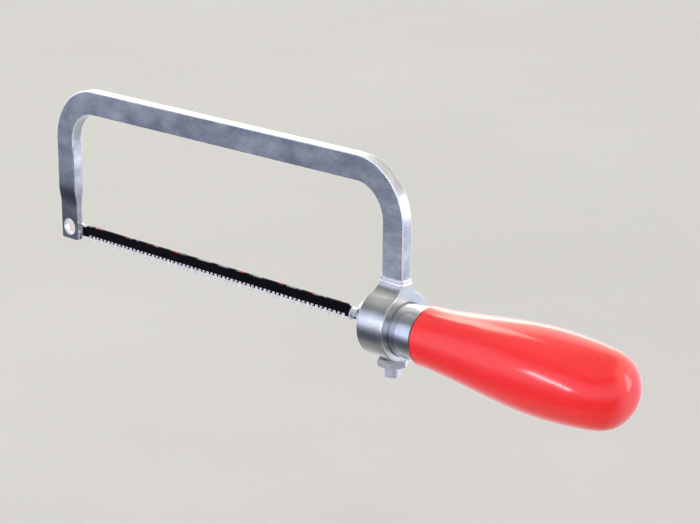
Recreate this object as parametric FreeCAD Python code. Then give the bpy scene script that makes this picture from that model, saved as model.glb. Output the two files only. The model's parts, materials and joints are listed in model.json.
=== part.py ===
import FreeCAD, Part
import math
import os
from FreeCAD import Vector

# Small hand hacksaw with a bent flat-bar bow and a turned wooden handle.
# Millimetres. X runs forward along the handle axis to the toe, Z is up and the teeth point down.
# The origin is on the handle axis, in the plane of the collar's rear face.

# ---- driving sizes ----
BOW_LENGTH = 184.4  # rear face of the rear leg to the front of the toe
BOW_HEIGHT = 59.4  # handle axis to the top edge of the bow
BAR_WIDTH = 9.5
BAR_THICKNESS = 4.75
BAR_EDGE = 0.5  # rounding of the bar's long edges
BEND_INNER = 12.5  # inner radius of both bends
TOE_BOTTOM = -4.1
PIN_SPACING = 150.0  # between the two pins of the blade
RUNNING = 0.05  # radial clearance of a shaft that turns or slides
SEAT = 0.1  # clearance beside a flat face that moves

# ---- toe ----
TOE_THICKNESS = 2.4
TOE_TAPER_TOP = 20.0
TOE_TAPER_BOTTOM = 9.0
TOE_CORNER = 0.8
HOLE_X = BOW_LENGTH - 4.5
HOLE_Z = 0.8
HOLE_RADIUS = 2.75
HOLE_CHAMFER = 0.65

# ---- collar ----
COLLAR_LENGTH = 12.0
COLLAR_RADIUS = 12.8
COLLAR_RISE = 1.0  # the outside of the ring is centred above its bore
COLLAR_BORE = 9.5
COLLAR_FLOOR = 9.0  # depth of the bore
COLLAR_EDGE = 0.5  # bevels of the bore and the nose
COLLAR_ROUND = 0.7  # rounding of the ring's front and rear rims
NECK_TOP = 18.2  # height of the joint between bow and collar
NECK_LIP = 0.2  # how far the neck stands out past the bar
NECK_FOOT = 10.5  # height where the front of the neck reaches the front of the ring
NOSE_END = 19.2  # the nose is a cone, centred a little above the ring
NOSE_RISE = 1.5
NOSE_ROOT_RADIUS = 9.6
NOSE_TIP_RADIUS = 5.1
TENON_DEPTH = 2.8
TENON_WIDTH = 6.0
TENON_THICKNESS = 3.0
TENON_GAP = 0.05

# ---- lock screw and its nut, under the collar ----
LOCK_X = 5.7
LOCK_SEAT = -11.5  # flat face that the nut bears on
LOCK_SCREW_RADIUS = 3.0
LOCK_SCREW_END = -19.4
LOCK_DOME = 0.9  # height of the rounded lower end
LOCK_CONE_TIP = -8.55
LOCK_CONE_LENGTH = 2.6
LOCK_TIP_RADIUS = 0.4
SPOT_FACE_RADIUS = 6.2
NUT_FLATS = 10.0
NUT_HEIGHT = 3.2
NUT_CHAMFER = 0.7
NUT_FACE_RADIUS = 4.65  # round face left by the chamfer

# ---- ferrule ----
FERRULE_REAR = -10.0
FERRULE_REAR_RADIUS = 10.2
FERRULE_WALL = 0.9
FERRULE_NOSE = 8.0
FERRULE_NOSE_RADIUS = COLLAR_BORE - RUNNING
FERRULE_NOSE_WALL = 2.1
FERRULE_TAPER_END = -0.8
FERRULE_STEP = 0.6  # slope inside, where the wall thickens into the nose
FERRULE_BEVEL = 0.4
GROOVE_MOUTH = 1.45  # half-width of the lock groove at its mouth
GROOVE_DEPTH = 1.15

# ---- handle ----
HANDLE_FRONT = -10.3
HANDLE_LIP = 0.5  # rounding of the front rim
GRIP_START_SLOPE = 0.02  # rise per millimetre just behind the rim
# stations along the swelling of the grip: distance along X, radius
HANDLE_PROFILE = [
    (-10.8, 10.8),
    (-20.0, 11.4),
    (-35.0, 13.15),
    (-48.0, 14.6),
    (-61.5, 15.4),
    (-74.0, 15.0),
    (-84.0, 13.9),
    (-90.5, 11.6),
    (-94.3, 7.2),
    (-95.8, 0.0),
]
GLUE_GAP = 0.05  # between wood and metal

# ---- tension spindle, nut and thrust washer ----
SPINDLE_RADIUS = 3.0
SPINDLE_FRONT = 24.9
SPINDLE_REAR = -24.0
SPINDLE_TRAVEL = 3.0
SPINDLE_FLAT = 2.5  # half-width across the two flats
SPINDLE_FLAT_START = 5.5
SPINDLE_UNDERSIDE = -1.8  # flat milled below the exposed end
SPINDLE_CHAMFER = 0.6
TENSION_NUT_FRONT = 5.5
TENSION_NUT_FLANGE = 2.5
TENSION_NUT_FLANGE_RADIUS = 7.2
TENSION_NUT_REAR = -15.0
TENSION_NUT_FLATS = 10.0
HANDLE_BORE_END = -32.0
HANDLE_BORE_RADIUS = 3.8
WASHER_THICKNESS = 0.95
WASHER_RADIUS = 9.0
CLEAR_HOLE = 3.4  # radius of holes the spindle passes without touching

# ---- blade, its pins and their seats ----
BLADE_HEIGHT = 6.3
BLADE_THICKNESS = 0.65
BLADE_SLOT = 0.8
BLADE_TAIL = 1.8  # radius of each blade end about its pin
BLADE_TAIL_LENGTH = 2.0  # narrow part inside each slotted stud, from the pin
BLADE_TAPER = 2.0  # length over which the blade narrows to its tail
PIN_RADIUS = 0.8
PIN_HALF_LENGTH = 1.6
PIN_HOLE_GAP = 0.03
BLADE_END_GAP = 0.5  # between the blade and the bottom of the spindle slot, spindle forward
REAR_PIN_X = 23.4
FRONT_PIN_X = REAR_PIN_X + PIN_SPACING
TOOTH_PITCH = 2.2
TOOTH_COUNT = 64
TOOTH_DEPTH = 1.5
TOOTH_TIP = 0.35  # flat left at each tooth's tip
GULLET = 0.7  # flat at the bottom of each gullet
ANCHOR_REAR = 171.8
ANCHOR_RADIUS = 2.5
ANCHOR_CHAMFER = 0.35
ANCHOR_RISE = 0.5  # the stud is centred above the line of the pins
ANCHOR_ROOF = 2.05  # top of the blade slot in the anchor


def cylinder_x(x0, x1, radius, y=0.0, z=0.0):
    return Part.makeCylinder(radius, x1 - x0, Vector(x0, y, z), Vector(1, 0, 0))


def cylinder_y(half_length, radius, x, z):
    return Part.makeCylinder(radius, 2 * half_length, Vector(x, -half_length, z), Vector(0, 1, 0))


def cylinder_z(z0, z1, radius, x):
    return Part.makeCylinder(radius, z1 - z0, Vector(x, 0, z0), Vector(0, 0, 1))


def block(x0, x1, half_y, z0, z1):
    return Part.makeBox(x1 - x0, 2 * half_y, z1 - z0, Vector(x0, -half_y, z0))


def turned(outline):
    """Solid of revolution about X from (x, radius) corners joined by straight lines."""
    points = [Vector(x, 0, r) for x, r in outline]
    face = Part.Face(Part.makePolygon(points + points[:1]))
    return face.revolve(Vector(0, 0, 0), Vector(1, 0, 0), 360)


def edges_between(points):
    """Straight edges that join the points in order."""
    return [Part.makeLine(a, b) for a, b in zip(points[:-1], points[1:])]


def hexagon_points(flats, first_corner_deg):
    reach = flats / math.sqrt(3)
    angles = [math.radians(first_corner_deg + 60 * i) for i in range(6)]
    return [(reach * math.cos(a), reach * math.sin(a)) for a in angles]


def hexagon_x(x0, x1, flats):
    points = [Vector(x0, a, b) for a, b in hexagon_points(flats, 30)]
    face = Part.Face(Part.makePolygon(points + points[:1]))
    return face.extrude(Vector(x1 - x0, 0, 0))


def arc_xz(center, radius, start_deg, end_deg):
    """Arc in the XZ plane, angles measured from +X towards +Z."""
    spots = []
    for share in (0.0, 0.5, 1.0):
        a = math.radians(start_deg + share * (end_deg - start_deg))
        spots.append(Vector(center[0] + radius * math.cos(a), 0, center[1] + radius * math.sin(a)))
    return Part.Arc(*spots).toShape()


def bow_outline():
    """Closed outline of the bow seen from the side."""
    outer = BEND_INNER + BAR_WIDTH
    low = BOW_HEIGHT - outer
    front = BOW_LENGTH
    rear_center = (outer, low)
    front_center = (front - outer, low)
    rear_inner = BAR_WIDTH
    front_inner = front - BAR_WIDTH
    under = BOW_HEIGHT - BAR_WIDTH
    corner = TOE_CORNER
    toe_front = (front - corner, TOE_BOTTOM + corner)
    toe_rear = (front_inner + corner, TOE_BOTTOM + corner)

    def line(x0, z0, x1, z1):
        return Part.makeLine(Vector(x0, 0, z0), Vector(x1, 0, z1))

    return Part.Wire(
        [
            line(rear_inner, NECK_TOP, 0, NECK_TOP),
            line(0, NECK_TOP, 0, low),
            arc_xz(rear_center, outer, 180, 90),
            line(outer, BOW_HEIGHT, front - outer, BOW_HEIGHT),
            arc_xz(front_center, outer, 90, 0),
            line(front, low, front, toe_front[1]),
            arc_xz(toe_front, corner, 0, -90),
            line(toe_front[0], TOE_BOTTOM, toe_rear[0], TOE_BOTTOM),
            arc_xz(toe_rear, corner, -90, -180),
            line(front_inner, toe_rear[1], front_inner, low),
            arc_xz(front_center, BEND_INNER, 0, 90),
            line(front - outer, under, outer, under),
            arc_xz(rear_center, BEND_INNER, 90, 180),
            line(rear_inner, low, rear_inner, NECK_TOP),
        ]
    )


def toe_taper(side):
    """Metal taken off one face of the front leg so that it thins smoothly into the toe."""
    wide = side * BAR_THICKNESS / 2
    thin = side * TOE_THICKNESS / 2
    away = side * BAR_THICKNESS
    middle = (TOE_TAPER_TOP + TOE_TAPER_BOTTOM) / 2
    x = BOW_LENGTH - BAR_WIDTH - 1
    low = TOE_BOTTOM - 1
    curve = Part.BezierCurve()
    curve.setPoles(
        [
            Vector(x, wide, TOE_TAPER_TOP),
            Vector(x, wide, middle),
            Vector(x, thin, middle),
            Vector(x, thin, TOE_TAPER_BOTTOM),
        ]
    )
    corners = [
        Vector(x, thin, TOE_TAPER_BOTTOM),
        Vector(x, thin, low),
        Vector(x, away, low),
        Vector(x, away, TOE_TAPER_TOP),
        Vector(x, wide, TOE_TAPER_TOP),
    ]
    outline = Part.Wire([curve.toShape()] + edges_between(corners))
    return Part.Face(outline).extrude(Vector(BAR_WIDTH + 2, 0, 0))


def tenon(gap):
    """Tongue at the foot of the rear leg; gap > 0 gives the pocket it sits in."""
    middle = BAR_WIDTH / 2
    half = TENON_WIDTH / 2 + gap
    bottom = NECK_TOP - TENON_DEPTH - gap
    return block(middle - half, middle + half, TENON_THICKNESS / 2 + gap, bottom, NECK_TOP)


def round_bar_edges(shape):
    """Round the long edges of the bow, which lie in its two side faces."""
    half = BAR_THICKNESS / 2
    chosen = []
    for edge in shape.Edges:
        box = edge.BoundBox
        in_side_face = box.YLength < 1e-6 and abs(abs(box.YMin) - half) < 1e-6
        at_joint = box.ZLength < 1e-6 and abs(box.ZMin - NECK_TOP) < 1e-6
        if in_side_face and not at_joint:
            chosen.append(edge)
    return shape.makeFillet(BAR_EDGE, chosen)


def hole_with_chamfers():
    half = TOE_THICKNESS / 2
    hole = cylinder_y(BAR_THICKNESS, HOLE_RADIUS, HOLE_X, HOLE_Z)
    for side in (-1, 1):
        mouth = Vector(HOLE_X, side * half, HOLE_Z)
        inward = Vector(0, -side, 0)
        hole = hole.fuse(
            Part.makeCone(HOLE_RADIUS + HOLE_CHAMFER, HOLE_RADIUS, HOLE_CHAMFER, mouth, inward)
        )
    return hole


def bow_bar():
    flat = Part.Face(bow_outline())
    flat.translate(Vector(0, -BAR_THICKNESS / 2, 0))
    bar = round_bar_edges(flat.extrude(Vector(0, BAR_THICKNESS, 0)))
    bar = bar.cut(toe_taper(1)).cut(toe_taper(-1))
    bar = bar.cut(hole_with_chamfers())
    tail_reach = FRONT_PIN_X + BLADE_TAIL + SEAT
    inner_edge = BOW_LENGTH - BAR_WIDTH
    slit = block(inner_edge - 1, tail_reach, BLADE_SLOT / 2, TOE_BOTTOM - 1, ANCHOR_ROOF)
    return bar.cut(slit).fuse(tenon(0.0)).removeSplitter()


def collar_section():
    """Ring and neck seen along X: a circle that two concave arcs draw up to the foot of the bow."""
    half = BAR_THICKNESS / 2 + NECK_LIP
    radius = COLLAR_RADIUS
    rise = NECK_TOP - COLLAR_RISE
    fillet = (half**2 + rise**2 - radius**2) / (2 * (radius - half))
    lean = math.atan2(rise, half + fillet)

    def spot(side, center_y, center_z, r, angle):
        return Vector(0, side * (center_y + r * math.cos(angle)), center_z + r * math.sin(angle))

    def concave(side):
        angles = (math.pi, (math.pi + math.pi + lean) / 2, math.pi + lean)
        return Part.Arc(*[spot(side, half + fillet, NECK_TOP, fillet, a) for a in angles]).toShape()

    touch = [spot(side, 0, COLLAR_RISE, radius, lean) for side in (1, -1)]
    ring = Part.Arc(touch[0], Vector(0, 0, COLLAR_RISE - radius), touch[1]).toShape()
    top = Part.makeLine(Vector(0, -half, NECK_TOP), Vector(0, half, NECK_TOP))
    return Part.Face(Part.Wire([top, concave(1), ring, concave(-1)]))


def neck_front():
    """Space in front of the neck, which draws forward from the bar to the front of the ring."""
    top_x = BAR_WIDTH + NECK_LIP
    y = -COLLAR_RADIUS
    beyond = COLLAR_LENGTH + 1
    above = NECK_TOP + 1
    curve = Part.BezierCurve()
    curve.setPoles(
        [
            Vector(top_x, y, NECK_TOP),
            Vector(top_x, y, (NECK_TOP + NECK_FOOT) / 2),
            Vector(COLLAR_LENGTH, y, NECK_FOOT),
        ]
    )
    corners = [
        Vector(COLLAR_LENGTH, y, NECK_FOOT),
        Vector(beyond, y, NECK_FOOT),
        Vector(beyond, y, above),
        Vector(top_x, y, above),
        Vector(top_x, y, NECK_TOP),
    ]
    outline = Part.Wire([curve.toShape()] + edges_between(corners))
    return Part.Face(outline).extrude(Vector(0, 2 * COLLAR_RADIUS, 0))


def flatted_rod(x0, x1, gap):
    """Spindle section with its two flats; gap > 0 gives the hole it slides in."""
    rod = cylinder_x(x0, x1, SPINDLE_RADIUS + gap)
    return rod.common(block(x0, x1, SPINDLE_FLAT + gap, -2 * SPINDLE_RADIUS, 2 * SPINDLE_RADIUS))


def soften_ring_edges(shape):
    """Round the front and rear rims of the collar's outline."""
    rims = []
    for edge in shape.Edges:
        box = edge.BoundBox
        at_end = box.XLength < 1e-6
        is_top = box.ZLength < 1e-6
        if at_end and not is_top:
            rims.append(edge)
    return shape.makeFillet(COLLAR_ROUND, rims)


def handle_collar():
    body = soften_ring_edges(collar_section().extrude(Vector(COLLAR_LENGTH, 0, 0)))
    body = body.cut(neck_front())
    nose = turned(
        [
            (COLLAR_LENGTH - 1, 0),
            (COLLAR_LENGTH - 1, NOSE_ROOT_RADIUS),
            (COLLAR_LENGTH, NOSE_ROOT_RADIUS),
            (NOSE_END - COLLAR_EDGE, NOSE_TIP_RADIUS + COLLAR_EDGE / 2),
            (NOSE_END, NOSE_TIP_RADIUS - COLLAR_EDGE / 2),
            (NOSE_END, 0),
        ]
    )
    nose.translate(Vector(0, 0, NOSE_RISE))
    body = body.fuse(nose)
    bore = turned(
        [
            (-1, 0),
            (-1, COLLAR_BORE + COLLAR_EDGE),
            (0, COLLAR_BORE + COLLAR_EDGE),
            (COLLAR_EDGE, COLLAR_BORE),
            (COLLAR_FLOOR, COLLAR_BORE),
            (COLLAR_FLOOR, 0),
        ]
    )
    body = body.cut(bore)
    body = body.cut(flatted_rod(COLLAR_FLOOR - 1, NOSE_END + 1, RUNNING))
    spot_face = cylinder_z(-COLLAR_RADIUS - 1, LOCK_SEAT, SPOT_FACE_RADIUS, LOCK_X)
    screw_hole = cylinder_z(-COLLAR_RADIUS, 0, LOCK_SCREW_RADIUS + RUNNING, LOCK_X)
    return body.cut(spot_face).cut(screw_hole).cut(tenon(TENON_GAP)).removeSplitter()


def lock_screw():
    """Round-ended screw whose cone point runs in the ferrule's groove."""
    radius = LOCK_SCREW_RADIUS
    shoulder = LOCK_SCREW_END + LOCK_DOME
    sphere = (radius**2 + LOCK_DOME**2) / (2 * LOCK_DOME)
    half_turn = math.asin(radius / sphere) / 2
    middle_x = sphere * math.sin(half_turn)
    middle_z = LOCK_SCREW_END + sphere * (1 - math.cos(half_turn))
    dome = Part.Arc(
        Vector(0, 0, LOCK_SCREW_END),
        Vector(middle_x, 0, middle_z),
        Vector(radius, 0, shoulder),
    ).toShape()
    corners = [
        Vector(radius, 0, shoulder),
        Vector(radius, 0, LOCK_CONE_TIP - LOCK_CONE_LENGTH),
        Vector(LOCK_TIP_RADIUS, 0, LOCK_CONE_TIP),
        Vector(0, 0, LOCK_CONE_TIP),
        Vector(0, 0, LOCK_SCREW_END),
    ]
    half_section = Part.Face(Part.Wire([dome] + edges_between(corners)))
    screw = half_section.revolve(Vector(0, 0, 0), Vector(0, 0, 1), 360)
    screw.translate(Vector(LOCK_X, 0, 0))
    return screw


def lock_nut():
    """Thin hexagon nut, bevelled on both faces, that jams the lock screw against the collar."""
    top = LOCK_SEAT - SEAT
    bottom = top - NUT_HEIGHT
    points = [Vector(LOCK_X + a, b, bottom) for a, b in hexagon_points(NUT_FLATS, 0)]
    prism = Part.Face(Part.makePolygon(points + points[:1])).extrude(Vector(0, 0, NUT_HEIGHT))
    reach = NUT_FLATS / math.sqrt(3)
    up = Vector(0, 0, 1)
    lower = Part.makeCone(NUT_FACE_RADIUS, reach, NUT_CHAMFER, Vector(LOCK_X, 0, bottom), up)
    middle = cylinder_z(bottom + NUT_CHAMFER, top - NUT_CHAMFER, reach, LOCK_X)
    upper_foot = Vector(LOCK_X, 0, top - NUT_CHAMFER)
    upper = Part.makeCone(reach, NUT_FACE_RADIUS, NUT_CHAMFER, upper_foot, up)
    thread = cylinder_z(bottom - 1, top + 1, LOCK_SCREW_RADIUS + RUNNING, LOCK_X)
    return prism.common(lower.fuse(middle).fuse(upper)).cut(thread).removeSplitter()


def ferrule_inner():
    """Inside corners of the ferrule from its rear edge to the wall in its nose."""
    nose_inner = FERRULE_NOSE_RADIUS - FERRULE_NOSE_WALL
    step_x = FERRULE_TAPER_END - FERRULE_STEP
    return [
        (FERRULE_REAR, FERRULE_REAR_RADIUS - FERRULE_WALL),
        (step_x, FERRULE_NOSE_RADIUS - FERRULE_WALL),
        (FERRULE_TAPER_END, nose_inner),
        (TENSION_NUT_FRONT, nose_inner),
    ]


def ferrule():
    nose = FERRULE_NOSE_RADIUS
    floor = GROOVE_MOUTH - GROOVE_DEPTH
    outer = [
        (FERRULE_NOSE, CLEAR_HOLE),
        (FERRULE_NOSE, nose - FERRULE_BEVEL),
        (FERRULE_NOSE - FERRULE_BEVEL, nose),
        (LOCK_X + GROOVE_MOUTH, nose),
        (LOCK_X + floor, nose - GROOVE_DEPTH),
        (LOCK_X - floor, nose - GROOVE_DEPTH),
        (LOCK_X - GROOVE_MOUTH, nose),
        (FERRULE_TAPER_END, nose),
        (FERRULE_REAR + FERRULE_BEVEL, FERRULE_REAR_RADIUS),
        (FERRULE_REAR, FERRULE_REAR_RADIUS - FERRULE_BEVEL),
    ]
    return turned([(TENSION_NUT_FRONT, CLEAR_HOLE)] + outer + ferrule_inner())


def handle():
    """Turned grip with a spigot that fills the ferrule and a bore for the nut and spindle."""
    nut_back = TENSION_NUT_FRONT - TENSION_NUT_FLANGE
    spigot = [Vector(x, 0, r - GLUE_GAP) for x, r in ferrule_inner()[:3]]
    lip_radius = HANDLE_PROFILE[0][1]
    butt_x = HANDLE_PROFILE[-1][0]
    grip = Part.BSplineCurve()
    grip.interpolate(
        [Vector(x, 0, r) for x, r in HANDLE_PROFILE],
        InitialTangent=Vector(-1, 0, GRIP_START_SLOPE),
        FinalTangent=Vector(0, 0, -1),
    )
    bend = HANDLE_LIP * (1 - math.sqrt(0.5))
    lip = Part.Arc(
        Vector(HANDLE_FRONT, 0, lip_radius - HANDLE_LIP),
        Vector(HANDLE_FRONT - bend, 0, lip_radius - bend),
        Vector(HANDLE_FRONT - HANDLE_LIP, 0, lip_radius),
    ).toShape()
    corners = [
        Vector(butt_x, 0, 0),
        Vector(nut_back, 0, 0),
        Vector(nut_back, 0, spigot[2].z),
        spigot[2],
        spigot[1],
        Vector(HANDLE_FRONT, 0, spigot[0].z),
        Vector(HANDLE_FRONT, 0, lip_radius - HANDLE_LIP),
    ]
    half_section = Part.Face(Part.Wire(edges_between(corners) + [lip, grip.toShape()]))
    wood = half_section.revolve(Vector(0, 0, 0), Vector(1, 0, 0), 360)
    pocket = hexagon_x(TENSION_NUT_REAR - GLUE_GAP, nut_back + 1, TENSION_NUT_FLATS + 2 * GLUE_GAP)
    bore = turned(
        [
            (nut_back, 0),
            (nut_back, HANDLE_BORE_RADIUS),
            (HANDLE_BORE_END, HANDLE_BORE_RADIUS),
            (HANDLE_BORE_END - HANDLE_BORE_RADIUS / 2, 0),
        ]
    )
    return wood.cut(pocket).cut(bore)


def tension_nut():
    """Flanged nut that the handle turns on the spindle."""
    back = TENSION_NUT_FRONT - TENSION_NUT_FLANGE
    flange = cylinder_x(back, TENSION_NUT_FRONT, TENSION_NUT_FLANGE_RADIUS)
    body = hexagon_x(TENSION_NUT_REAR, back, TENSION_NUT_FLATS)
    thread = cylinder_x(TENSION_NUT_REAR - 1, TENSION_NUT_FRONT + 1, SPINDLE_RADIUS + RUNNING)
    return flange.fuse(body).cut(thread).removeSplitter()


def thrust_washer():
    front = FERRULE_NOSE + WASHER_THICKNESS
    disc = cylinder_x(FERRULE_NOSE, front, WASHER_RADIUS)
    return disc.cut(cylinder_x(FERRULE_NOSE - 1, front + 1, CLEAR_HOLE))


def pin_notch(x, play, half_y):
    """Notch open below that fits over a blade pin at x, longer behind it by the play."""
    radius = PIN_RADIUS + RUNNING
    notch = block(x - play - radius, x + radius, half_y, -half_y, 0)
    for center in (x - play, x):
        notch = notch.fuse(cylinder_y(half_y, radius, center, 0))
    if play:
        notch = notch.fuse(block(x - play, x, half_y, 0, radius))
    return notch


def tension_spindle():
    """Threaded rod whose flatted front end holds the rear of the blade."""
    rod = turned(
        [
            (SPINDLE_REAR, 0),
            (SPINDLE_REAR, SPINDLE_RADIUS - SPINDLE_CHAMFER),
            (SPINDLE_REAR + SPINDLE_CHAMFER, SPINDLE_RADIUS),
            (SPINDLE_FRONT - SPINDLE_CHAMFER, SPINDLE_RADIUS),
            (SPINDLE_FRONT, SPINDLE_RADIUS - SPINDLE_CHAMFER),
            (SPINDLE_FRONT, 0),
        ]
    )
    reach = SPINDLE_RADIUS + 1
    round_part = rod.common(block(SPINDLE_REAR, SPINDLE_FLAT_START, reach, -reach, reach))
    flat_part = rod.common(block(SPINDLE_FLAT_START, SPINDLE_FRONT, SPINDLE_FLAT, -reach, reach))
    rod = round_part.fuse(flat_part)
    rod = rod.cut(block(NOSE_END, SPINDLE_FRONT + 1, reach, -reach, SPINDLE_UNDERSIDE))
    slot_end = REAR_PIN_X - BLADE_TAIL - SPINDLE_TRAVEL - BLADE_END_GAP
    slot = block(slot_end, SPINDLE_FRONT + 1, BLADE_SLOT / 2, -reach, reach)
    return rod.cut(slot).cut(pin_notch(REAR_PIN_X, SPINDLE_TRAVEL + SEAT, reach))


def front_blade_anchor():
    """Slotted stud, as thick as the toe, brazed to the toe's inner edge."""
    inner_edge = BOW_LENGTH - BAR_WIDTH
    stud = turned(
        [
            (ANCHOR_REAR, 0),
            (ANCHOR_REAR, ANCHOR_RADIUS - ANCHOR_CHAMFER),
            (ANCHOR_REAR + ANCHOR_CHAMFER, ANCHOR_RADIUS),
            (inner_edge, ANCHOR_RADIUS),
            (inner_edge, 0),
        ]
    )
    stud.translate(Vector(0, 0, ANCHOR_RISE))
    reach = 2 * ANCHOR_RADIUS
    stud = stud.common(block(ANCHOR_REAR, inner_edge, TOE_THICKNESS / 2, -reach, reach))
    slot = block(ANCHOR_REAR - 1, inner_edge + 1, BLADE_SLOT / 2, -reach, ANCHOR_ROOF)
    return stud.cut(slot).cut(pin_notch(FRONT_PIN_X, 0, reach))


def blade_outline():
    """Side view of the blade: straight back, rounded ends and a row of teeth."""
    half = BLADE_HEIGHT / 2
    tail_rear = REAR_PIN_X + BLADE_TAIL_LENGTH
    tail_front = FRONT_PIN_X - BLADE_TAIL_LENGTH
    body_rear = tail_rear + BLADE_TAPER
    body_front = tail_front - BLADE_TAPER
    first = (REAR_PIN_X + FRONT_PIN_X - TOOTH_COUNT * TOOTH_PITCH) / 2
    root = TOOTH_DEPTH - half
    lower = [Vector(body_rear, 0, root)]
    for i in range(TOOTH_COUNT):
        x = first + i * TOOTH_PITCH
        lower.append(Vector(x + GULLET, 0, root))
        lower.append(Vector(x + TOOTH_PITCH - TOOTH_TIP, 0, -half))
        lower.append(Vector(x + TOOTH_PITCH, 0, -half))
        lower.append(Vector(x + TOOTH_PITCH, 0, root))
    lower.append(Vector(body_front, 0, root))
    front_low = Vector(FRONT_PIN_X, 0, -BLADE_TAIL)
    front_high = Vector(FRONT_PIN_X, 0, BLADE_TAIL)
    rear_high = Vector(REAR_PIN_X, 0, BLADE_TAIL)
    rear_low = Vector(REAR_PIN_X, 0, -BLADE_TAIL)
    spine = [
        front_high,
        Vector(tail_front, 0, BLADE_TAIL),
        Vector(body_front, 0, half),
        Vector(body_rear, 0, half),
        Vector(tail_rear, 0, BLADE_TAIL),
        rear_high,
    ]
    front_end = Part.Arc(front_low, Vector(FRONT_PIN_X + BLADE_TAIL, 0, 0), front_high).toShape()
    rear_end = Part.Arc(rear_high, Vector(REAR_PIN_X - BLADE_TAIL, 0, 0), rear_low).toShape()
    return Part.Wire(
        Part.makePolygon([rear_low] + lower + [front_low]).Edges
        + [front_end]
        + Part.makePolygon(spine).Edges
        + [rear_end]
    )


def blade():
    flat = Part.Face(blade_outline())
    flat.translate(Vector(0, -BLADE_THICKNESS / 2, 0))
    strip = flat.extrude(Vector(0, BLADE_THICKNESS, 0))
    for x in (REAR_PIN_X, FRONT_PIN_X):
        strip = strip.cut(cylinder_y(BLADE_THICKNESS, PIN_RADIUS + PIN_HOLE_GAP, x, 0))
    return strip


def blade_pin(x):
    return cylinder_y(PIN_HALF_LENGTH, PIN_RADIUS, x, 0)


PARTS = {
    "bow_bar": bow_bar(),
    "handle_collar": handle_collar(),
    "lock_screw": lock_screw(),
    "lock_nut": lock_nut(),
    "ferrule": ferrule(),
    "handle": handle(),
    "tension_nut": tension_nut(),
    "thrust_washer": thrust_washer(),
    "tension_spindle": tension_spindle(),
    "front_blade_anchor": front_blade_anchor(),
    "blade": blade(),
    "front_blade_pin": blade_pin(FRONT_PIN_X),
    "rear_blade_pin": blade_pin(REAR_PIN_X),
}

os.makedirs("parts", exist_ok=True)
for name, shape in PARTS.items():
    shape.exportStep(f"parts/{name}.step")
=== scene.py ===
import json
import math

import bmesh
import bpy
from mathutils import Matrix, Quaternion, Vector


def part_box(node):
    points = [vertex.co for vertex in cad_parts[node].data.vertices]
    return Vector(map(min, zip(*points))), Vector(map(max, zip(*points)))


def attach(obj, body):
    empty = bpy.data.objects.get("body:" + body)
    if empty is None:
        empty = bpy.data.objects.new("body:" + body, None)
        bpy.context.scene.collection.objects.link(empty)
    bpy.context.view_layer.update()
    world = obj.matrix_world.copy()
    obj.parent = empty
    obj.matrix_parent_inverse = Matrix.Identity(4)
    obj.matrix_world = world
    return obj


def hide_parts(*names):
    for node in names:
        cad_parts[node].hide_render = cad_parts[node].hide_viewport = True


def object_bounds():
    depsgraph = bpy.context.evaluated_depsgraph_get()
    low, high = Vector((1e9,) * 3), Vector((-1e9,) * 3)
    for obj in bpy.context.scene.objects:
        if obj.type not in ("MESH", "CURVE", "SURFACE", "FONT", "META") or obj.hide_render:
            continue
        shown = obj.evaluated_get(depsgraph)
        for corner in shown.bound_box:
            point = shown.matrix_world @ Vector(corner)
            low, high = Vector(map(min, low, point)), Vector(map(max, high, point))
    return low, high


# Looks of a small hand hacksaw. Metres, in the CAD's frame: X forward, Y left, Z up.

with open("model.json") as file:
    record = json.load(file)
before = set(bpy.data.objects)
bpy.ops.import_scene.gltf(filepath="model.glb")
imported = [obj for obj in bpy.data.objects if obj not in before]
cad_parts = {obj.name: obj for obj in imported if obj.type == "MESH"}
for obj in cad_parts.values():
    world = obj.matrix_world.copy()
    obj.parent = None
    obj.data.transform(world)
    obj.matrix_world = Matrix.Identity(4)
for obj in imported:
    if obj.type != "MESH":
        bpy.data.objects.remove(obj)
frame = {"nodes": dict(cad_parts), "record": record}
cad_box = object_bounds()

MM = 0.001

# ---- camera ----
CAMERA_AZIMUTH = 132.61  # degrees, from +X towards +Y
CAMERA_ELEVATION = 17.37
CAMERA_ROLL = -0.42
CAMERA_DISTANCE = 0.717
CAMERA_AIM = Vector((-17.7 * MM, 0, -1.2 * MM))  # from the middle of the saw
CAMERA_LENS = 104.2
SENSOR = 36.0  # millimetres, like the lens

# ---- surroundings mirrored in the metal: (upward part of a direction, colour), from -1 to 1 ----
WINDOW_SIDE = [
    (-1.00, (0.36, 0.36, 0.34)),
    (-0.76, (0.42, 0.42, 0.40)),
    (-0.62, (0.12, 0.13, 0.16)),
    (-0.42, (0.10, 0.11, 0.15)),
    (-0.33, (0.18, 0.20, 0.25)),
    (-0.28, (0.30, 0.32, 0.40)),
    (-0.18, (0.50, 0.54, 0.68)),
    (-0.08, (0.96, 1.06, 1.32)),
    (0.16, (0.96, 1.06, 1.32)),
    (0.38, (0.78, 0.84, 1.02)),
    (0.52, (0.26, 0.27, 0.29)),
    (0.64, (0.32, 0.33, 0.33)),
    (0.76, (0.66, 0.67, 0.65)),
    (1.00, (0.60, 0.60, 0.58)),
]
WALL_SIDE = [
    (-1.00, (0.45, 0.45, 0.43)),
    (-0.70, (0.90, 0.90, 0.88)),
    (-0.25, (0.95, 1.06, 1.26)),
    (0.05, (1.20, 1.22, 1.24)),
    (0.20, (1.70, 1.62, 1.50)),
    (0.68, (1.70, 1.58, 1.40)),
    (0.80, (0.70, 0.70, 0.68)),
    (1.00, (0.60, 0.60, 0.58)),
]
SIDES_BLEND = (-0.34, 0.06)  # leftward part of the directions where one side gives way to the other

# ---- sunlit patch of the pale wall, seen along the top of the handle; each pair is a soft border ----
PATCH_COLOUR = (5.0, 4.7, 4.0)
PATCH_SLOPE = 0.85  # its upper edge climbs towards the left
PATCH_TOP = (0.91, 0.95)
PATCH_LEFT = (-0.16, -0.06)
PATCH_FOOT = (0.00, 0.30)
PATCH_FRONT = (0.05, 0.20)

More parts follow.
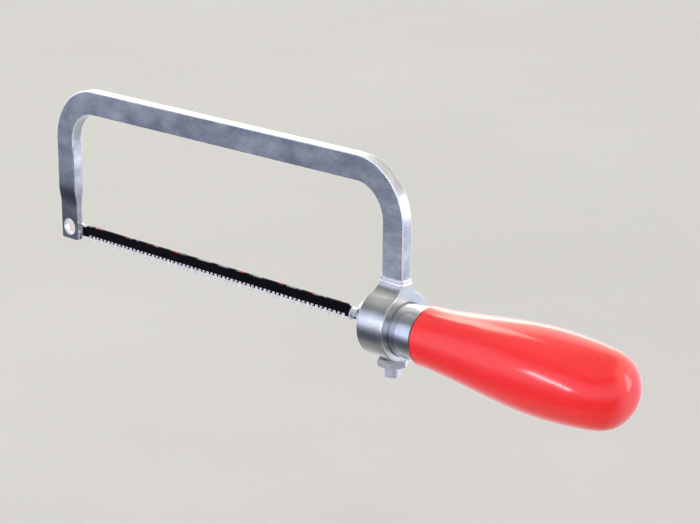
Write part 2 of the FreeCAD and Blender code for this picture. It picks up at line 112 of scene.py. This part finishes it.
# ---- small bright opening behind and on the right, seen in the end of the handle ----
SPARK_COLOUR = (5.0, 4.6, 4.7)
SPARK_DIRECTION = Vector((-0.75, -0.64, 0.16))
SPARK_SHAPE = Vector((1, 1, 0.42))  # stands taller than wide
SPARK_RADIUS = (0.12, 0.17)

# ---- lamps that nothing mirrors: (name, position, width, height, power, colour) ----
LAMPS_AIM = (0.04, 0, 0.02)
LAMPS = [
    ("window", (1.8, 1.9, 1.1), 2.0, 1.6, 10, (0.90, 0.95, 1.0)),
    ("wall", (1.9, -2.1, 1.5), 3.2, 2.2, 7, (1.0, 0.97, 0.92)),
    ("overhead", (-1.0, 0.4, 2.6), 1.2, 1.2, 10, (1.0, 0.99, 0.97)),
    ("fill", (-1.3, 2.6, 0.60), 2.6, 0.8, 23, (1.0, 0.99, 0.98)),
]

# ---- lamps mirrored as a bright streak along the handle's belly, with a soft glow round it ----
BELLY_FORWARD = 0.025  # from the butt of the handle
BELLY_HEIGHT = 0.004
STREAK_OFFSET = Vector((0.43, 0.89, 0.09))  # from the belly
STREAK_ROLL = -38  # degrees
STREAK_LAMPS = [
    ("streak", 0.38, 0.08, 1.3, (1.0, 0.88, 0.95)),
    ("streak_glow", 0.46, 0.22, 0.5, (1.0, 0.90, 0.95)),
]

# ---- floor ----
FLOOR_SIZE = 8.0
FLOOR_GAP = 0.006  # below the lowest reach of the swung blade
FLOOR_TONES = [(0.3, (0.49, 0.49, 0.49)), (0.7, (0.52, 0.52, 0.516))]

# ---- blade, in millimetres ----
TOOTH_COUNT = 64
TOOTH_PITCH = 2.2
TOOTH_DEPTH = 1.5
TOOTH_BARE = 0.85  # how far the bright flank reaches above the root of the tooth
TOOTH_SET = 0.1  # sideways lean of the tips, to alternate sides
TOOTH_PROUD = 0.015  # ground flanks stand this far out of the strip
TOOTH_SHOULDERS = (0.34, 0.92)  # rear and front edge of a tooth above its root, as shares of the pitch
TOOTH_ROOTS = (0.36, 0.95)  # and at its root
TOOTH_TIPS = (0.70, 0.98)  # and at its tip
BLADE_TAIL = 1.8  # radius of each end about its pin
BLADE_TAIL_LENGTH = 2.0
BLADE_TAPER = 2.0
BLADE_END_STEPS = 12
SPINE_BAND = (0.35, 0.25)  # soft lower border of the dashed band along the spine, pale painted highlight and red print, below the top of the blade

# ---- beads of filler round the collar's neck, in millimetres ----
BEADS = [(0.5, 0.45), (1.9, 0.8)]  # (drop below the joint with the bow, radius)
BEAD_SUNK = 0.35  # share of the radius sunk into the neck
BEAD_RING = 12  # points round a bead
CORNER_STEPS = 5
BAR_WIDTH = 9.5
BAR_EDGE = 0.5
NECK_FLARE = 0.06  # how fast the neck widens below the joint, per millimetre squared

# ---- marks on the surfaces, in millimetres; a START, END, HEIGHT or TOP pair is a soft border ----
SEAM_SHADE = 1.3  # width of the painted shade line where the handle's lacquer meets its sleeve
REAR_LEG_START = (0.5, 1.0)  # along X; the plating is lighter on the lower rear leg
REAR_LEG_END = (14.0, 18.0)
REAR_LEG_HEIGHT = (22.0, 52.0)
TOE_START = (164.0, 168.0)  # and darker on the toe
TOE_HEIGHT = (14.0, 27.0)
EDGE_ROUNDING = 0.5  # rounding of the bow's edges, where a pale painted highlight runs along them
HIGHLIGHT_INNER = (1.0, 0.7)  # where the painted highlight begins, as shares of the rounding in from the bar's side
HIGHLIGHT_OUTER = (0.1, 0.02)  # and where it ends, just short of that side
JOGGLE_START = (160.0, 162.0)  # the flattened toe and the step above it get no painted highlight
JOGGLE_TOP = (32.0, 36.0)
HOLE_RIM = (3.35, 3.5)  # outer edge of the pale rim round the toe's hole, from its centre

# ---- colours of the surfaces: (level of the noise, colour) ----
BAR_DULL = [(0.34, (0.31, 0.33, 0.38)), (0.5, (0.44, 0.46, 0.50)), (0.66, (0.57, 0.58, 0.61))]
BAR_PALER = [(0.32, (0.60, 0.62, 0.68)), (0.5, (0.74, 0.76, 0.80)), (0.68, (0.92, 0.93, 0.96))]
BAR_DARK = [(0.32, (0.20, 0.21, 0.24)), (0.68, (0.32, 0.33, 0.36))]
# pale colour of the painted highlight along the bow's edges, also used for the pale rim round the toe's hole
BAR_HIGHLIGHT_AND_RIM = [(0.32, (0.74, 0.76, 0.80)), (0.68, (0.88, 0.89, 0.92))]
CASTING = [(0.3, (0.54, 0.55, 0.56)), (0.7, (0.66, 0.67, 0.68))]
NUT = [(0.3, (0.66, 0.66, 0.70)), (0.7, (0.84, 0.84, 0.88))]
FILLER = [(0.3, (0.78, 0.78, 0.82)), (0.7, (0.92, 0.92, 0.95))]
SLEEVE = [(0.3, (0.60, 0.61, 0.64)), (0.7, (0.74, 0.75, 0.78))]
STEEL = [(0.3, (0.60, 0.60, 0.66)), (0.7, (0.84, 0.84, 0.90))]
BARE_STEEL = [(0.3, (0.62, 0.63, 0.66)), (0.7, (0.86, 0.86, 0.89))]
LACQUER = [(0.3, (0.80, 0.018, 0.020)), (0.7, (0.88, 0.022, 0.024))]
LACQUER_SEAM_SHADE = [(0.3, (0.05, 0.004, 0.004)), (0.7, (0.09, 0.006, 0.006))]
BLUED = [(0.3, (0.0006, 0.0008, 0.002)), (0.75, (0.002, 0.0024, 0.005))]
# pale dashes are a painted highlight along the spine's edge, red ones are print
HIGHLIGHT_AND_PRINT_DASHES = [(0.58, (0.26, 0.27, 0.30)), (0.60, (0.42, 0.035, 0.02))]
DASH_EDGE = (0.5, 0.54)  # level of the noise where a dash begins


# ---------------------------------------------------------------- node helpers
def material(name):
    """An empty node material and its shader."""
    made = bpy.data.materials.new(name)
    made.use_nodes = True
    shader = made.node_tree.nodes["Principled BSDF"]
    return made, shader


def add(made, kind, **settings):
    node = made.node_tree.nodes.new(kind)
    for key, value in settings.items():
        setattr(node, key, value)
    return node


def join(made, source, target):
    made.node_tree.links.new(source, target)


def place(made, scale=(1, 1, 1)):
    """Object coordinates in millimetres, stretched by scale."""
    coords = add(made, "ShaderNodeTexCoord")
    mapping = add(made, "ShaderNodeMapping")
    mapping.inputs["Scale"].default_value = [s / MM for s in scale]
    join(made, coords.outputs["Object"], mapping.inputs["Vector"])
    return mapping.outputs["Vector"]


def split(made, vector):
    """The X, Y and Z of a vector."""
    node = add(made, "ShaderNodeSeparateXYZ")
    join(made, vector, node.inputs["Vector"])
    return node.outputs["X"], node.outputs["Y"], node.outputs["Z"]


def noise(made, vector, scale, detail=2.0, roughness=0.5, distortion=0.0):
    node = add(made, "ShaderNodeTexNoise")
    node.inputs["Scale"].default_value = scale
    node.inputs["Detail"].default_value = detail
    node.inputs["Roughness"].default_value = roughness
    node.inputs["Distortion"].default_value = distortion
    join(made, vector, node.inputs["Vector"])
    return node.outputs["Fac"]


def ramp(made, value, stops):
    """Colour ramp from (position, colour) stops."""
    node = add(made, "ShaderNodeValToRGB")
    elements = node.color_ramp.elements
    while len(elements) < len(stops):
        elements.new(0.5)
    for element, (position, colour) in zip(elements, stops):
        element.position = position
        element.color = (*colour, 1.0)
    join(made, value, node.inputs["Fac"])
    return node.outputs["Color"]


def span(made, value, low, high, from_low=0.0, from_high=1.0):
    """Map a value onto low..high."""
    node = add(made, "ShaderNodeMapRange")
    node.inputs["From Min"].default_value = from_low
    node.inputs["From Max"].default_value = from_high
    node.inputs["To Min"].default_value = low
    node.inputs["To Max"].default_value = high
    join(made, value, node.inputs["Value"])
    return node.outputs["Result"]


def rise(made, value, border):
    """0 below the border, 1 above it."""
    return span(made, value, 0.0, 1.0, *border)


def fall(made, value, border):
    """1 below the border, 0 above it."""
    return span(made, value, 1.0, 0.0, *border)


def bumps(made, shader, layers):
    """Stack bump layers of (height output, distance in millimetres, strength)."""
    previous = None
    for height, distance, strength in layers:
        node = add(made, "ShaderNodeBump")
        node.inputs["Strength"].default_value = strength
        node.inputs["Distance"].default_value = distance * MM
        join(made, height, node.inputs["Height"])
        if previous is not None:
            join(made, previous, node.inputs["Normal"])
        previous = node.outputs["Normal"]
    join(made, previous, shader.inputs["Normal"])


def blend(made, share, first, second):
    """Mix two colours by a share of 0 to 1. Sockets 6, 7 and 2 are the node's colour ones."""
    node = add(made, "ShaderNodeMix", data_type="RGBA")
    join(made, share, node.inputs[0])
    join(made, first, node.inputs[6])
    join(made, second, node.inputs[7])
    return node.outputs[2]


def combine(made, operation, first, second):
    """Math node on two values."""
    node = add(made, "ShaderNodeMath", operation=operation)
    join(made, first, node.inputs[0])
    join(made, second, node.inputs[1])
    return node.outputs["Value"]


def product(made, first, *others):
    """Product of two or more values."""
    for other in others:
        first = combine(made, "MULTIPLY", first, other)
    return first


def distance(made, vector, centre):
    node = add(made, "ShaderNodeVectorMath", operation="DISTANCE")
    node.inputs[1].default_value = centre
    join(made, vector, node.inputs[0])
    return node.outputs["Value"]


def surface(made, shader, colour, grain, smooth, rough):
    """Colour, and a roughness that follows the grain."""
    join(made, colour, shader.inputs["Base Color"])
    join(made, span(made, grain, smooth, rough), shader.inputs["Roughness"])


# ---------------------------------------------------------------- materials
def bar_faces(made, x, z, clouds):
    """Zinc tones of the bow: dull, lighter on the lower rear leg and darker on the toe."""
    near_collar = product(
        made,
        fall(made, z, REAR_LEG_HEIGHT),
        rise(made, x, REAR_LEG_START),
        fall(made, x, REAR_LEG_END),
    )
    toe = product(made, rise(made, x, TOE_START), fall(made, z, TOE_HEIGHT))
    leg = blend(made, near_collar, ramp(made, clouds, BAR_DULL), ramp(made, clouds, BAR_PALER))
    return blend(made, toe, leg, ramp(made, clouds, BAR_DARK))


def painted_edge_highlight(made, x, y, z):
    """Share of painted highlight along the bow's rounded edges, none of it on the toe."""
    across = add(made, "ShaderNodeMath", operation="ABSOLUTE")
    join(made, y, across.inputs[0])
    side = across.outputs["Value"]
    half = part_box("bow_bar")[1][1] / MM
    inner = [half - share * EDGE_ROUNDING for share in HIGHLIGHT_INNER]
    outer = [half - share * EDGE_ROUNDING for share in HIGHLIGHT_OUTER]
    rounding = product(made, rise(made, side, inner), fall(made, side, outer))
    joggle = product(made, rise(made, x, JOGGLE_START), fall(made, z, JOGGLE_TOP))
    return product(made, rounding, span(made, joggle, 1.0, 0.0))


def pale_hole_rim(made):
    """Share of pale plating round the hole through the toe."""
    mounts = {mount["name"]: mount for mount in frame["record"]["mounts"]}
    hole_x, _, hole_z = [c / MM for c in mounts["toe_hang_hole"]["pos_m"]]
    from_hole = distance(made, place(made, (1, 0, 1)), (hole_x, 0, hole_z))
    return fall(made, from_hole, HOLE_RIM)


def plated_bar():
    """Dull zinc plating over a bent bar whose faces are not quite flat, with a painted highlight along its
    edges.
    """
    made, shader = material("plated_bar")
    vector = place(made)
    x, y, z = split(made, vector)
    clouds = noise(made, place(made, (0.6, 1, 1)), scale=0.13, detail=4.0, roughness=0.6)
    # painted highlight along the bow's rounded edges, paler and less metallic than the faces, and a pale rim
    # round the toe's hole
    edge_highlight_and_rim = combine(made, "MAXIMUM", painted_edge_highlight(made, x, y, z), pale_hole_rim(made))
    tone = blend(made, edge_highlight_and_rim, bar_faces(made, x, z, clouds), ramp(made, clouds, BAR_HIGHLIGHT_AND_RIM))
    grain = noise(made, place(made, (0.3, 1, 1)), scale=1.4, detail=4.0)
    surface(made, shader, tone, grain, smooth=0.2, rough=0.36)
    join(made, span(made, edge_highlight_and_rim, 1.0, 0.45), shader.inputs["Metallic"])
    waves = noise(made, vector, scale=0.09, detail=1.0)
    fine = noise(made, vector, scale=1.2)
    bumps(made, shader, [(waves, 0.35, 0.5), (fine, 0.01, 0.08)])
    return made


def plated_casting():
    """Bright plating over a cast surface with a faint orange peel."""
    made, shader = material("plated_casting")
    vector = place(made)
    clouds = noise(made, vector, scale=0.14, detail=4.0)
    grain = noise(made, vector, scale=0.9, detail=4.0)
    surface(made, shader, ramp(made, clouds, CASTING), grain, smooth=0.16, rough=0.3)
    shader.inputs["Metallic"].default_value = 1.0
    peel = noise(made, vector, scale=0.7)
    bumps(made, shader, [(peel, 0.05, 0.35)])
    return made


def plated_nut():
    """Brighter plating on a small turned and milled part."""
    made, shader = material("plated_nut")
    clouds = noise(made, place(made), scale=0.4, detail=3.0)
    marks = noise(made, place(made, (1, 1, 2)), scale=0.5)
    surface(made, shader, ramp(made, clouds, NUT), marks, smooth=0.14, rough=0.3)
    shader.inputs["Metallic"].default_value = 0.7
    bumps(made, shader, [(marks, 0.02, 0.2)])
    return made


def filler_metal():
    """Soft bright filler wiped round the joint."""
    made, shader = material("filler_metal")
    lumps = noise(made, place(made), scale=0.8)
    surface(made, shader, ramp(made, lumps, FILLER), lumps, smooth=0.34, rough=0.46)
    shader.inputs["Metallic"].default_value = 0.8
    bumps(made, shader, [(lumps, 0.03, 0.2)])
    return made


def polished_sleeve():
    """Spun steel with faint rings left by the lathe."""
    made, shader = material("polished_sleeve")
    rings = noise(made, place(made, (1, 0.02, 0.02)), scale=5.0, detail=3.0)
    surface(made, shader, ramp(made, rings, SLEEVE), rings, smooth=0.1, rough=0.22)
    shader.inputs["Metallic"].default_value = 1.0
    waves = noise(made, place(made, (0.5, 1, 1)), scale=0.25, detail=1.0)
    bumps(made, shader, [(waves, 0.06, 0.4), (rings, 0.008, 0.4)])
    return made


def plain_steel():
    """Machined steel with fine tool marks."""
    made, shader = material("plain_steel")
    marks = noise(made, place(made, (2, 1, 1)), scale=1.2, detail=4.0)
    surface(made, shader, ramp(made, marks, STEEL), marks, smooth=0.2, rough=0.4)
    shader.inputs["Metallic"].default_value = 0.7
    bumps(made, shader, [(marks, 0.02, 0.25)])
    return made


def lacquered_wood():
    """Turned wood under thick red lacquer: faint grain along the grip, a clear gloss, and painted shade next
    to its sleeve.
    """
    made, shader = material("lacquered_wood")
    grain = noise(made, place(made, (0.05, 1, 1)), scale=0.7, detail=5.0, distortion=0.6)
    x, _, _ = split(made, place(made))
    sleeve_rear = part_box("ferrule")[0][0] / MM
    # painted shade: a dark band on the lacquer where it meets the sleeve
    seam_shade = rise(made, x, (sleeve_rear - SEAM_SHADE, sleeve_rear - SEAM_SHADE / 2))
    tone = blend(made, seam_shade, ramp(made, grain, LACQUER), ramp(made, grain, LACQUER_SEAM_SHADE))
    surface(made, shader, tone, grain, smooth=0.34, rough=0.5)
    shader.inputs["Specular IOR Level"].default_value = 0.15
    shader.inputs["Coat Weight"].default_value = 1.0
    shader.inputs["Coat Roughness"].default_value = 0.1
    waves = noise(made, place(made, (0.35, 1, 1)), scale=0.12)
    bumps(made, shader, [(waves, 0.12, 0.5), (grain, 0.008, 0.2)])
    return made


def blued_blade():
    """Blue-black strip with short dashes along its spine: pale ones are a painted highlight on its edge, red
    ones are print.
    """
    made, shader = material("blued_blade")
    vector = place(made)
    _, _, z = split(made, vector)
    clouds = noise(made, place(made, (0.2, 1, 1)), scale=0.8, detail=5.0)
    along = place(made, (0.4, 1, 1))
    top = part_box("blade")[1][2] / MM
    spine = rise(made, z, [top - drop for drop in SPINE_BAND])
    dashes = rise(made, noise(made, along, scale=0.5), DASH_EDGE)
    highlight_and_print = ramp(made, noise(made, along, scale=0.35, detail=0.0), HIGHLIGHT_AND_PRINT_DASHES)
    tone = blend(made, product(made, spine, dashes), ramp(made, clouds, BLUED), highlight_and_print)
    surface(made, shader, tone, clouds, smooth=0.36, rough=0.55)
    shader.inputs["Specular IOR Level"].default_value = 0.06
    fine = noise(made, vector, scale=4.0, detail=3.0)
    bumps(made, shader, [(fine, 0.02, 0.3)])
    return made


def bare_teeth():
    """Ground steel left bright on the flanks of the teeth."""
    made, shader = material("bare_teeth")
    marks = noise(made, place(made, (1, 1, 3)), scale=1.2, detail=3.0)
    surface(made, shader, ramp(made, marks, BARE_STEEL), marks, smooth=0.3, rough=0.5)
    shader.inputs["Metallic"].default_value = 0.4
    bumps(made, shader, [(marks, 0.02, 0.4)])
    return made


MATERIALS = {
    "plated_bar": plated_bar(),
    "plated_casting": plated_casting(),
    "plated_nut": plated_nut(),
    "polished_sleeve": polished_sleeve(),
    "plain_steel": plain_steel(),
    "lacquered_wood": lacquered_wood(),
    "blued_blade": blued_blade(),
}

for part in frame["record"]["subparts"]:
    cad_object = frame["nodes"][part["node"]]
    cad_object.data.materials.clear()
    cad_object.data.materials.append(MATERIALS[part["material_slot"]])


# ---------------------------------------------------------------- new pieces
def piece_from(name, mesh_data, body, slot, *materials):
    """Object from (vertices in millimetres, faces, material indices), riding on a CAD body."""
    vertices, faces, indices = mesh_data
    mesh = bpy.data.meshes.new(name)
    mesh.from_pydata([Vector(v) * MM for v in vertices], [], faces)
    for made in materials:
        mesh.materials.append(made)
    for polygon, index in zip(mesh.polygons, indices):
        polygon.material_index = index
    made = bpy.data.objects.new(name, mesh)
    bpy.context.scene.collection.objects.link(made)
    tidy = bmesh.new()
    tidy.from_mesh(mesh)
    bmesh.ops.recalc_face_normals(tidy, faces=tidy.faces)
    tidy.to_mesh(mesh)
    tidy.free()
    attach(made, body)
    return made


def prism(outline, half, lean=0.0, low=0.0):
    """Closed slab from an (x, z) outline; points at or below low lean sideways."""
    count = len(outline)
    vertices = []
    for side in (-1, 1):
        for x, z in outline:
            vertices.append((x, side * half + (lean if z <= low else 0.0), z))
    faces = [tuple(range(count)), tuple(range(2 * count - 1, count - 1, -1))]
    for i in range(count):
        after = (i + 1) % count
        faces.append((i, i + count, after + count, after))
    return vertices, faces


def arc(center_x, radius, start_deg, end_deg):
    """Points along an arc about a point on the X axis."""
    points = []
    for i in range(BLADE_END_STEPS + 1):
        a = math.radians(start_deg + (end_deg - start_deg) * i / BLADE_END_STEPS)
        points.append((center_x + radius * math.cos(a), radius * math.sin(a)))
    return points


def strip_outline(rear, front, root, top):
    """Blade without its teeth: round narrow ends that widen to the full strip."""
    outline = arc(front, BLADE_TAIL, -90, 90)
    outline += [(front - BLADE_TAIL_LENGTH, BLADE_TAIL)]
    outline += [(front - BLADE_TAIL_LENGTH - BLADE_TAPER, top)]
    outline += [(rear + BLADE_TAIL_LENGTH + BLADE_TAPER, top)]
    outline += [(rear + BLADE_TAIL_LENGTH, BLADE_TAIL)]
    outline += arc(rear, BLADE_TAIL, 90, 270)
    outline += [(rear + BLADE_TAIL_LENGTH + BLADE_TAPER, root)]
    outline += [(front - BLADE_TAIL_LENGTH - BLADE_TAPER, root)]
    return outline


def tooth_outline(start, tip, root):
    """One tooth and its ground flank, with a nearly upright front edge."""
    rear_edge = [
        (TOOTH_SHOULDERS[0], root + TOOTH_BARE),
        (TOOTH_ROOTS[0], root),
        (TOOTH_TIPS[0], tip),
    ]
    front_edge = [
        (TOOTH_TIPS[1], tip),
        (TOOTH_ROOTS[1], root),
        (TOOTH_SHOULDERS[1], root + TOOTH_BARE),
    ]
    return [(start + share * TOOTH_PITCH, z) for share, z in rear_edge + front_edge]


def saw_blade():
    """Strip with rounded ends and a row of teeth, their tips set to alternate sides."""
    low, high = [Vector(corner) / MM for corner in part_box("blade")]
    rear = low.x + BLADE_TAIL
    front = high.x - BLADE_TAIL
    half = high.y
    root = low.z + TOOTH_DEPTH
    vertices, faces = prism(strip_outline(rear, front, root, high.z), half)
    indices = [0] * len(faces)
    first = (rear + front - TOOTH_COUNT * TOOTH_PITCH) / 2
    for i in range(TOOTH_COUNT):
        tooth = tooth_outline(first + i * TOOTH_PITCH, low.z, root)
        lean = TOOTH_SET * (-1) ** i
        more_vertices, more_faces = prism(tooth, half + TOOTH_PROUD, lean, low.z)
        start = len(vertices)
        vertices += more_vertices
        faces += [tuple(start + v for v in face) for face in more_faces]
        indices += [1] * len(more_faces)
    mesh_data = (vertices, faces, indices)
    made = piece_from("saw_blade", mesh_data, "blade", "blued_blade", MATERIALS["blued_blade"], bare_teeth())
    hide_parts("blade")


def neck_path(drop):
    """Points and outward directions round the rounded section of the neck, drop below the joint."""
    bar_high = Vector(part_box("bow_bar")[1]) / MM
    collar_low, collar_high = [Vector(corner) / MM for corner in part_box("handle_collar")]
    spread = NECK_FLARE * drop**2
    front = collar_low.x + BAR_WIDTH + spread - BAR_EDGE
    side = bar_high.y + spread - BAR_EDGE
    corners = [(front, side, 0), (BAR_EDGE, side, 90), (BAR_EDGE, -side, 180), (front, -side, 270)]
    path = []
    for x, y, start in corners:
        for step in range(CORNER_STEPS):
            a = math.radians(start + 90 * step / (CORNER_STEPS - 1))
            outward = Vector((math.cos(a), math.sin(a), 0))
            path.append((Vector((x, y, collar_high.z - drop)) + BAR_EDGE * outward, outward))
    return path


def bead(path, radius):
    """Closed tube round a path, partly sunk into it."""
    vertices = []
    for spot, outward in path:
        for k in range(BEAD_RING):
            a = math.tau * k / BEAD_RING
            out = radius * (math.cos(a) - BEAD_SUNK)
            vertices.append(spot + out * outward + Vector((0, 0, radius * math.sin(a))))
    faces = []
    for i in range(len(path)):
        near = i * BEAD_RING
        far = (i + 1) % len(path) * BEAD_RING
        for k in range(BEAD_RING):
            beside = (k + 1) % BEAD_RING
            faces.append((near + k, near + beside, far + beside, far + k))
    return vertices, faces


def neck_beads():
    """Two rounded ridges where the bow is set into the collar."""
    filler = filler_metal()
    for number, (drop, radius) in enumerate(BEADS):
        vertices, faces = bead(neck_path(drop), radius)
        mesh_data = (vertices, faces, [0] * len(faces))
        made = piece_from(f"neck_bead_{number + 1}", mesh_data, "bow", "plated_nut", filler)
        for polygon in made.data.polygons:
            polygon.use_smooth = True


saw_blade()
neck_beads()


# ---------------------------------------------------------------- stage
def pale_floor():
    """Matt off-white with faint broad clouds."""
    made, shader = material("pale_floor")
    clouds = noise(made, place(made), scale=0.004, detail=3.0)
    join(made, ramp(made, clouds, FLOOR_TONES), shader.inputs["Base Color"])
    shader.inputs["Roughness"].default_value = 0.85
    return made


def lowest_reach():
    """Height of the blade's free end when the blade is swung all the way down."""
    joints = {joint["name"]: joint for joint in frame["record"]["behaviour"]["joints"]}
    swing = joints["blade_swing"]
    low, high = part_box("blade")
    reach = math.hypot(swing["pos_m"][0] - low[0], high[2])
    return swing["pos_m"][2] - reach * math.sin(math.radians(swing["range_deg"][1]))


def floor():
    """Floor far enough below the saw that the swung blade stays clear of it."""
    half = FLOOR_SIZE / 2
    level = lowest_reach() - FLOOR_GAP
    mesh = bpy.data.meshes.new("floor")
    corners = [(-half, -half, level), (half, -half, level), (half, half, level), (-half, half, level)]
    mesh.from_pydata(corners, [], [(0, 1, 2, 3)])
    made = bpy.data.objects.new("floor", mesh)
    bpy.context.scene.collection.objects.link(made)
    mesh.materials.append(pale_floor())
    made.visible_glossy = False


def room(world, directions):
    """A broad window on the left and a pale wall on the right."""
    _, y, z = split(world, directions)
    height = rise(world, z, (-1.0, 1.0))
    window = ramp(world, height, [(0.5 + up / 2, colour) for up, colour in WINDOW_SIDE])
    wall = ramp(world, height, [(0.5 + up / 2, colour) for up, colour in WALL_SIDE])
    return blend(world, rise(world, y, SIDES_BLEND), wall, window)


def glow(world, share, colour, behind):
    """One bright colour laid over what is behind it, by a share of 0 to 1."""
    plain = ramp(world, share, [(0.0, colour), (1.0, colour)])
    return blend(world, share, behind, plain)


def sunlit_patch(world, directions, behind):
    """Bright cream patch with a slanted upper edge, over what is behind it."""
    x, y, z = split(world, directions)
    slanted = add(world, "ShaderNodeVectorMath", operation="DOT_PRODUCT")
    slanted.inputs[1].default_value = (0, -PATCH_SLOPE, 1)
    join(world, directions, slanted.inputs[0])
    share = product(
        world,
        fall(world, slanted.outputs["Value"], PATCH_TOP),
        fall(world, y, PATCH_LEFT),
        rise(world, z, PATCH_FOOT),
        rise(world, x, PATCH_FRONT),
    )
    return glow(world, share, PATCH_COLOUR, behind)


def bright_opening(world, directions, behind):
    """Small bright ellipse round one direction, over what is behind it."""
    squashed = add(world, "ShaderNodeVectorMath", operation="MULTIPLY")
    squashed.inputs[1].default_value = SPARK_SHAPE
    join(world, directions, squashed.inputs[0])
    away = distance(world, squashed.outputs["Vector"], SPARK_DIRECTION * SPARK_SHAPE)
    return glow(world, fall(world, away, SPARK_RADIUS), SPARK_COLOUR, behind)


def studio():
    """Soft painted surroundings."""
    world = bpy.data.worlds.new("studio")
    world.use_nodes = True
    sky = world.node_tree.nodes["Background"]
    directions = add(world, "ShaderNodeTexCoord").outputs["Generated"]
    lit = sunlit_patch(world, directions, room(world, directions))
    join(world, bright_opening(world, directions, lit), sky.inputs["Color"])
    bpy.context.scene.world = world


def softbox(name, position, target, width, height, power, colour, mirrored, roll=0.0):
    """Rectangular lamp rolled by some degrees; mirrored says whether glossy surfaces show it."""
    light = bpy.data.lights.new(name, "AREA")
    light.shape = "RECTANGLE"
    light.size = width
    light.size_y = height
    light.energy = power
    light.color = colour
    made = bpy.data.objects.new(name, light)
    bpy.context.scene.collection.objects.link(made)
    made.location = position
    facing = (Vector(target) - Vector(position)).to_track_quat("-Z", "Y")
    made.rotation_euler = (facing @ Quaternion((0, 0, 1), math.radians(roll))).to_euler()
    made.visible_camera = False
    made.visible_glossy = mirrored


def lights():
    """Broad lamps for the light, and narrow mirrored ones for the streak on the handle."""
    for name, position, width, height, power, colour in LAMPS:
        softbox(name, position, LAMPS_AIM, width, height, power, colour, mirrored=False)
    handle_low, handle_high = [Vector(corner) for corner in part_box("handle")]
    belly = Vector((handle_low.x + BELLY_FORWARD, handle_high.y, BELLY_HEIGHT))
    for name, width, height, power, colour in STREAK_LAMPS:
        position = belly + STREAK_OFFSET
        softbox(name, position, belly, width, height, power, colour, mirrored=True, roll=STREAK_ROLL)


def camera():
    """Camera behind and to the left of the saw, a little above it."""
    az = math.radians(CAMERA_AZIMUTH)
    el = math.radians(CAMERA_ELEVATION)
    back = Vector((math.cos(az) * math.cos(el), math.sin(az) * math.cos(el), math.sin(el)))
    middle = (Vector(cad_box[0]) + Vector(cad_box[1])) / 2
    aim = Vector((middle.x, 0, middle.z)) + CAMERA_AIM
    view = bpy.data.cameras.new("camera")
    view.lens = CAMERA_LENS
    view.sensor_width = SENSOR
    made = bpy.data.objects.new("camera", view)
    bpy.context.scene.collection.objects.link(made)
    roll = Matrix.Rotation(math.radians(-CAMERA_ROLL), 3, "Z").to_quaternion()
    made.rotation_euler = (back.to_track_quat("Z", "Y") @ roll).to_euler()
    made.location = aim + back * CAMERA_DISTANCE
    bpy.context.scene.camera = made


floor()
studio()
lights()
camera()
bpy.context.scene.view_settings.view_transform = "Standard"
